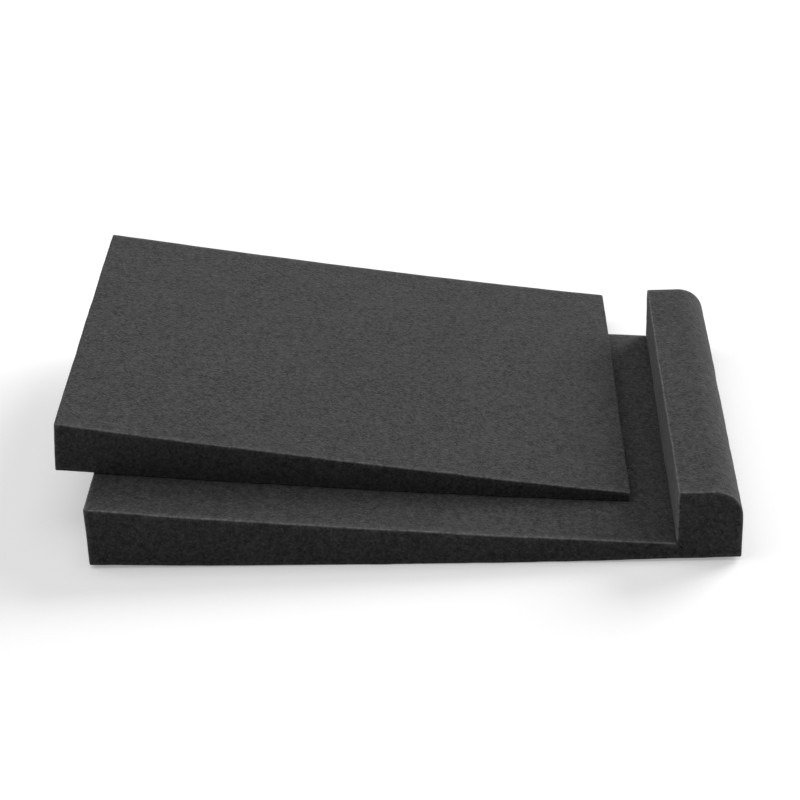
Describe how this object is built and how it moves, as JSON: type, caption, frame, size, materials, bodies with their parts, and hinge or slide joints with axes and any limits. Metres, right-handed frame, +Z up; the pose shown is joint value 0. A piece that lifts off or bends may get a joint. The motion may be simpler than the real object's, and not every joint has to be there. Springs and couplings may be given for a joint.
{
  "type": "speaker isolation pad",
  "caption": "Charcoal foam isolation pad for a studio monitor: a sloping base with a raised front lip and a loose wedge lying on its deck.",
  "frame": {"origin": "centre of the base pad's underside, on the surface that it rests on", "axes": "+Z up, +Y from the lip at the front to the thick end at the back, +X along the lip, to the right seen from the front"},
  "size_m": [0.288, 0.3891, 0.0706],
  "materials": {
    "foam": "matt open-celled polyurethane foam, charcoal, knife cut"
  },
  "bodies": {
    "root": {"base_pad": "foam", "top_wedge": "foam"}
  },
  "joints": []
}
